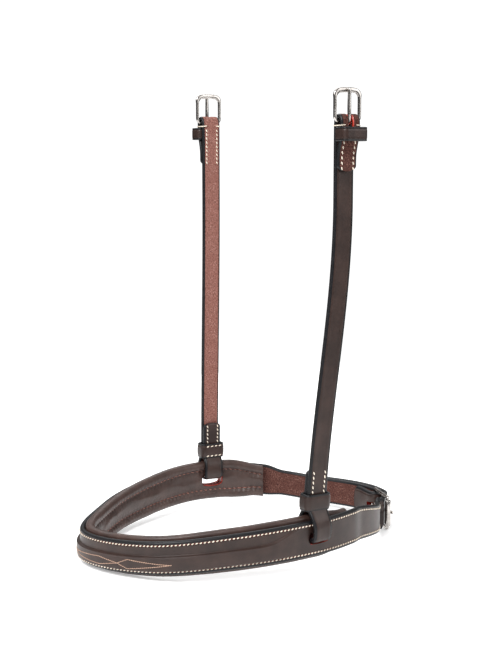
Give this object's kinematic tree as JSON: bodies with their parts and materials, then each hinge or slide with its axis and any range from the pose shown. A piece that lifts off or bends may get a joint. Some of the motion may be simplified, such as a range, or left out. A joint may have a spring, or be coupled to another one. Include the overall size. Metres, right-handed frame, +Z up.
{
  "type": "padded noseband with cheek hangers",
  "caption": "Padded leather cavesson noseband with a raised stitched nose, roller-buckle jaw strap and two upright hanger straps with buckles.",
  "frame": {"origin": "on the floor, under the middle of the whole noseband", "axes": "+Z up along the hangers; the nose is at -X, the jaw buckle at +X, the near (left) side at -Y"},
  "size_m": [0.2628, 0.2168, 0.3415],
  "materials": {
    "bridle_leather": "very dark brown grain leather, waxed, low gloss, black painted edges",
    "soft_leather": "soft brown lining leather over padding",
    "filler_felt": "hidden felt filler",
    "thread": "waxed ecru thread",
    "steel": "polished stainless steel"
  },
  "bodies": {
    "noseband": {"outer_strap": "bridle_leather", "lining_pad": "soft_leather", "nose_filler": "filler_felt", "top_edge_thread": "thread", "bottom_edge_thread": "thread", "ornament_thread": "thread", "rear_buckle_frame": "steel", "rear_keeper": "bridle_leather", "near_hanger_loop": "bridle_leather", "far_hanger_loop": "bridle_leather"},
    "rear_roller": {"rear_roller": "steel"},
    "rear_tongue": {"rear_tongue": "steel"},
    "near_hanger": {"near_hanger_strap": "bridle_leather", "near_upper_keeper": "bridle_leather", "near_lower_seam": "thread", "near_upper_seam": "thread"},
    "near_lower_keeper": {"near_lower_keeper": "bridle_leather"},
    "near_buckle": {"near_buckle_frame": "steel"},
    "near_tongue": {"near_buckle_tongue": "steel"},
    "far_hanger": {"far_hanger_strap": "bridle_leather", "far_upper_keeper": "bridle_leather", "far_lower_seam": "thread", "far_upper_seam": "thread"},
    "far_lower_keeper": {"far_lower_keeper": "bridle_leather"},
    "far_buckle": {"far_buckle_frame": "steel"},
    "far_tongue": {"far_buckle_tongue": "steel"}
  },
  "joints": [
    {"name": "rear_roller_spin", "type": "hinge", "parent": "noseband", "child": "rear_roller", "pos_m": [0.11306, -0.03756, 0.014], "axis": [0, 0, 1], "continuous": true},
    {"name": "rear_tongue_hinge", "type": "hinge", "parent": "noseband", "child": "rear_tongue", "pos_m": [0.12007, -0.00956, 0.014], "axis": [0, 0, 1], "range_deg": [0, 4]},
    {"name": "near_hanger_flex", "type": "hinge", "parent": "noseband", "child": "near_hanger", "pos_m": [0.01219, -0.09052, 0.04399], "axis": [1, 0, 0], "range_deg": [-12, 60]},
    {"name": "near_keeper_slide", "type": "slide", "parent": "near_hanger", "child": "near_lower_keeper", "axis": [0.073, 0, 0.9973], "range_m": [0, 0.015]},
    {"name": "near_buckle_tilt", "type": "hinge", "parent": "near_hanger", "child": "near_buckle", "pos_m": [0.03269, -0.09632, 0.31359], "axis": [1, 0, 0], "range_deg": [-30, 20]},
    {"name": "near_tongue_lift", "type": "hinge", "parent": "near_buckle", "child": "near_tongue", "pos_m": [0.03269, -0.09632, 0.31359], "axis": [1, 0, 0], "range_deg": [0, 70]},
    {"name": "far_hanger_flex", "type": "hinge", "parent": "noseband", "child": "far_hanger", "pos_m": [0.02331, 0.09052, 0.044], "axis": [-1, 0, 0], "range_deg": [-12, 60]},
    {"name": "far_keeper_slide", "type": "slide", "parent": "far_hanger", "child": "far_lower_keeper", "axis": [0.0088, 0, 1], "range_m": [0, 0.015]},
    {"name": "far_buckle_tilt", "type": "hinge", "parent": "far_hanger", "child": "far_buckle", "pos_m": [0.02571, 0.09632, 0.3176], "axis": [-1, 0, 0], "range_deg": [-30, 20]},
    {"name": "far_tongue_lift", "type": "hinge", "parent": "far_buckle", "child": "far_tongue", "pos_m": [0.02571, 0.09632, 0.3176], "axis": [-1, 0, 0], "range_deg": [0, 70]}
  ]
}
